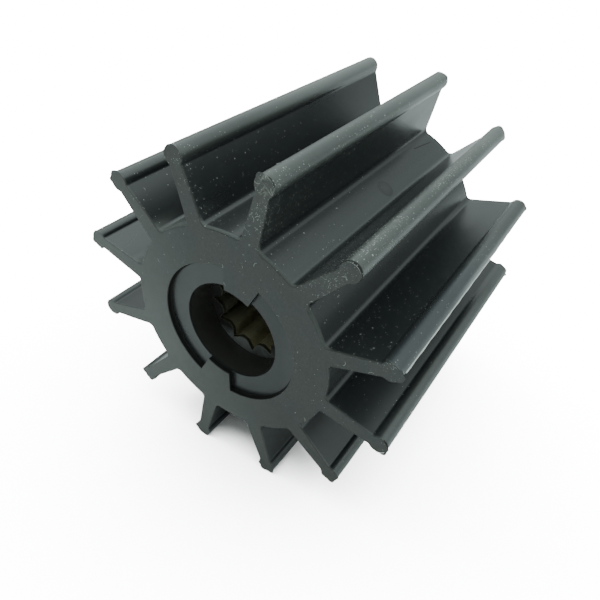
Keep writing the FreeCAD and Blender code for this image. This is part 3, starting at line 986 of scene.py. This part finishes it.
def make_bronze_finish():
    """Dull bronze: grey on its turned end faces, olive along the broached spline, and dark at its rims.
    Painted shade darkens its upper left, the upper part of its end faces and the inside deep in the bore."""
    f = Finish("bush_bronze")
    from_end = f.math("SUBTRACT", HALF_LENGTH - BUSH_SETBACK, f.math("ABSOLUTE", f.y))
    end = f.ramp(from_end, 0.10, 0.02)
    streaks = f.noise(900, 3, 0.6, stretch=(1.0, 0.06, 1.0))
    patches = f.noise(160, 4, 0.6)
    spline = f.blend(f.ramp(patches, 0.35, 0.65), OLIVE_DARK, OLIVE_PALE)
    spline = f.blend(f.ramp(streaks, 0.5, 0.8, 0.0, 0.3), spline, BROACH_STREAK)
    face = f.blend(f.ramp(patches, 0.40, 0.55), TURNED_DARK, TURNED_PALE)
    face = f.blend(f.ramp(f.x, -3, 5, 0.0, 0.5), face, TURNED_RIGHT)
    # Painted shade over the upper part of the end faces, lighter at the bottom
    face = f.blend(f.ramp(f.z, -10.5, -8.0, 0.15, 0.95), face, TURNED_PAINTED_SHADE)

    # A dark line just inside the rims
    rim = f.both(f.band(from_end, 0.04, 0.09, 0.9, 1.3), 0.95)
    # Painted shade on the upper left
    upper_left_shade = f.both(f.ramp(f.slanted(f.z, 0.8, f.x, -0.6), -7, 2, 0.0, 0.90), f.math("SUBTRACT", 1.0, end))
    # Painted shade deeper in the bore
    deep = f.ramp(from_end, 3, 16, 0.0, 0.5)
    dark = f.highest(rim, upper_left_shade, deep)
    f.set(Base_Color=f.blend(dark, f.blend(end, spline, face), f.blend(rim, BRONZE_PAINTED_SHADE, RIM_LINE_DARK)))
    f.set(Metallic=f.both(f.ramp(end, 0.0, 1.0, 0.6, 0.2), f.math("SUBTRACT", 1.0, dark)))
    f.set(Roughness=f.highest(f.ramp(patches, 0.3, 0.7, 0.40, 0.55), f.both(upper_left_shade, 0.8)))
    unlit = f.highest(f.both(upper_left_shade, 0.7), f.both(end, f.ramp(f.z, -10.0, -7.8), 0.7))
    f.set(Specular_IOR_Level=f.ramp(unlit, 0.0, 1.0, 0.5, 0.1))
    f.roughen(f.math("ADD", streaks, patches), 0.2, 0.08)
    return f.material


def make_ground_finish(name, colour):
    f = Finish(name)
    tone = f.noise(6, 2, 0.5)
    low = tuple(c * 0.985 for c in colour)
    f.set(Base_Color=f.blend(tone, (*low, 1), (*colour, 1)), Roughness=0.9)
    return f.material


# ------------------------ The impeller

def make_impeller():
    tree = make_ring_tree("sectors_round_shaft")
    rubber_finish, bronze_finish = RubberFinish().material, make_bronze_finish()
    plain = make_rubber_sector("plain_sector", False)
    lugged = make_rubber_sector("lug_sector", True)
    tooth = make_bush_sector()
    common = {"Pitch": math.radians(VANE_PITCH), "First turn": math.radians(FIRST_VANE),
              "Half length": HALF_LENGTH * MM, "Weld": 0.002 * MM}

    rubber = make_ring("moulded_impeller", tree, dict(common, **{
        "Plain sector": plain, "Lug sector": lugged, "Finish": rubber_finish,
        "Bend from radius": (HUB_RADIUS + 0.3) * MM, "Bend to radius": 43.0 * MM}), VANES)
    add_flash(rubber.data)
    add_strips(rubber.data)
    settle_faces(rubber.data)
    weight_normals(rubber)
    # The bush stays straight: it ends far inside the radius at which its ring would start to bend
    bush = make_ring("bronze_bush", tree, dict(common, **{
        "Plain sector": tooth, "Lug sector": tooth, "Finish": bronze_finish,
        "Bend from radius": 1.0, "Bend to radius": 2.0}), [Vane(0, 0, 0, 0, False)] * len(VANES))
    settle_faces(bush.data)
    weight_normals(bush)
    for piece, node, slot in ((rubber, "rubber_impeller", "rubber"), (bush, "splined_bush", "bush_metal")):
        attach(piece, "root")
        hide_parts(node)
    for sector in (plain, lugged, tooth):
        bpy.data.objects.remove(sector)


# ------------------------ Camera, ground and light

def make_camera():
    """The photograph's viewpoint, fitted to the rings of vane tips at both ends."""
    data = bpy.data.cameras.new("camera")
    data.sensor_width = 36.0
    data.lens = 34.066
    data.shift_x = 0.0164
    data.shift_y = 0.0255
    data.clip_start, data.clip_end = 0.01, 10.0
    camera = bpy.data.objects.new("camera", data)
    camera.location = (0.07192, -0.12659, 0.09293)
    camera.rotation_mode = "QUATERNION"
    camera.rotation_quaternion = Quaternion((0.85968, 0.41841, 0.11618, 0.26906))
    bpy.context.scene.collection.objects.link(camera)
    bpy.context.scene.camera = camera


def make_ground(name, drop, finish, backdrop=False):
    """A round sheet on the ground, which can sweep up all round into a backdrop."""
    across, sweep, top = 2.0, 0.8, 3.0
    z = cad_box[0].z - drop
    profile = [(across, z)]
    if backdrop:
        profile += [(across + sweep * math.sin(a), z + sweep * (1 - math.cos(a)))
                    for a in spread(0.0, math.pi / 2, 10)[1:]]
        profile.append((across + sweep, top))
    rows = [[(*polar(radius, turn), height) for turn in range(0, 360, 5)] for radius, height in profile]
    count = len(rows[0])
    faces = [tuple(reversed(range(count)))]
    for i in range(len(rows) - 1):
        for j in range(count):
            k = (j + 1) % count
            faces.append((i * count + j, i * count + k, (i + 1) * count + k, (i + 1) * count + j))
    mesh = bpy.data.meshes.new(name)
    mesh.from_pydata([point for row in rows for point in row], [], faces)
    mesh.shade_smooth()
    mesh.polygons[0].use_smooth = False
    mesh.materials.append(finish)
    ground = bpy.data.objects.new(name, mesh)
    bpy.context.scene.collection.objects.link(ground)
    return ground


def make_stage():
    """A white ground that ends in a pale backdrop. What the camera sees of it has a bright lamp of its
    own, and a second sheet under it throws soft light back up at the impeller."""
    floor = make_ground("floor", 0.0, make_ground_finish("floor_white", (0.93, 0.93, 0.93)), backdrop=True)
    floor.visible_diffuse = False
    floor.visible_glossy = False
    floor.visible_transmission = False
    floor.visible_shadow = False
    bounce = make_ground("bounce_sheet", 0.0004, make_ground_finish("bounce_white", (0.88, 0.9, 0.9)))
    bounce.visible_camera = False
    make_wash("floor_wash", floor, strength=66.0, softness=122, tilt=(-34, -12))


def make_wash(name, sheet, strength, softness, tilt):
    """Soft light from above that falls on one sheet of the ground alone."""
    data = bpy.data.lights.new(name, "SUN")
    data.energy = strength
    data.angle = math.radians(softness)
    wash = bpy.data.objects.new(name, data)
    wash.rotation_euler = (math.radians(tilt[0]), math.radians(tilt[1]), 0)
    bpy.context.scene.collection.objects.link(wash)
    group = bpy.data.collections.new("lit_by_" + name)
    group.objects.link(sheet)
    wash.light_linking.receiver_collection = group


def make_sky():
    """A light tent: a dark room lit by the soft lights of the table above."""
    world = bpy.data.worlds.new("light_tent")
    bpy.context.scene.world = world
    world.use_nodes = True
    t = Tree(world.node_tree)
    background = world.node_tree.nodes["Background"]
    direction = t.node("ShaderNodeTexCoord").outputs["Generated"]
    level = 0.0
    for turn, height, strength in SOFT_LIGHTS:
        x, y = polar(math.cos(math.radians(height)), turn)
        towards = (x, y, math.sin(math.radians(height)))
        facing = t.node("ShaderNodeVectorMath", direction, towards, operation="DOT_PRODUCT").outputs["Value"]
        lobe = t.math("POWER", t.math("MAXIMUM", facing, 0.0), SOFT_LIGHT_FOCUS)
        level = t.math("MULTIPLY_ADD", lobe, strength, level)
    t.feed(background.inputs["Strength"], level)
    background.inputs["Color"].default_value = SOFT_LIGHT_COLOUR


make_impeller()
make_camera()
make_stage()
make_sky()
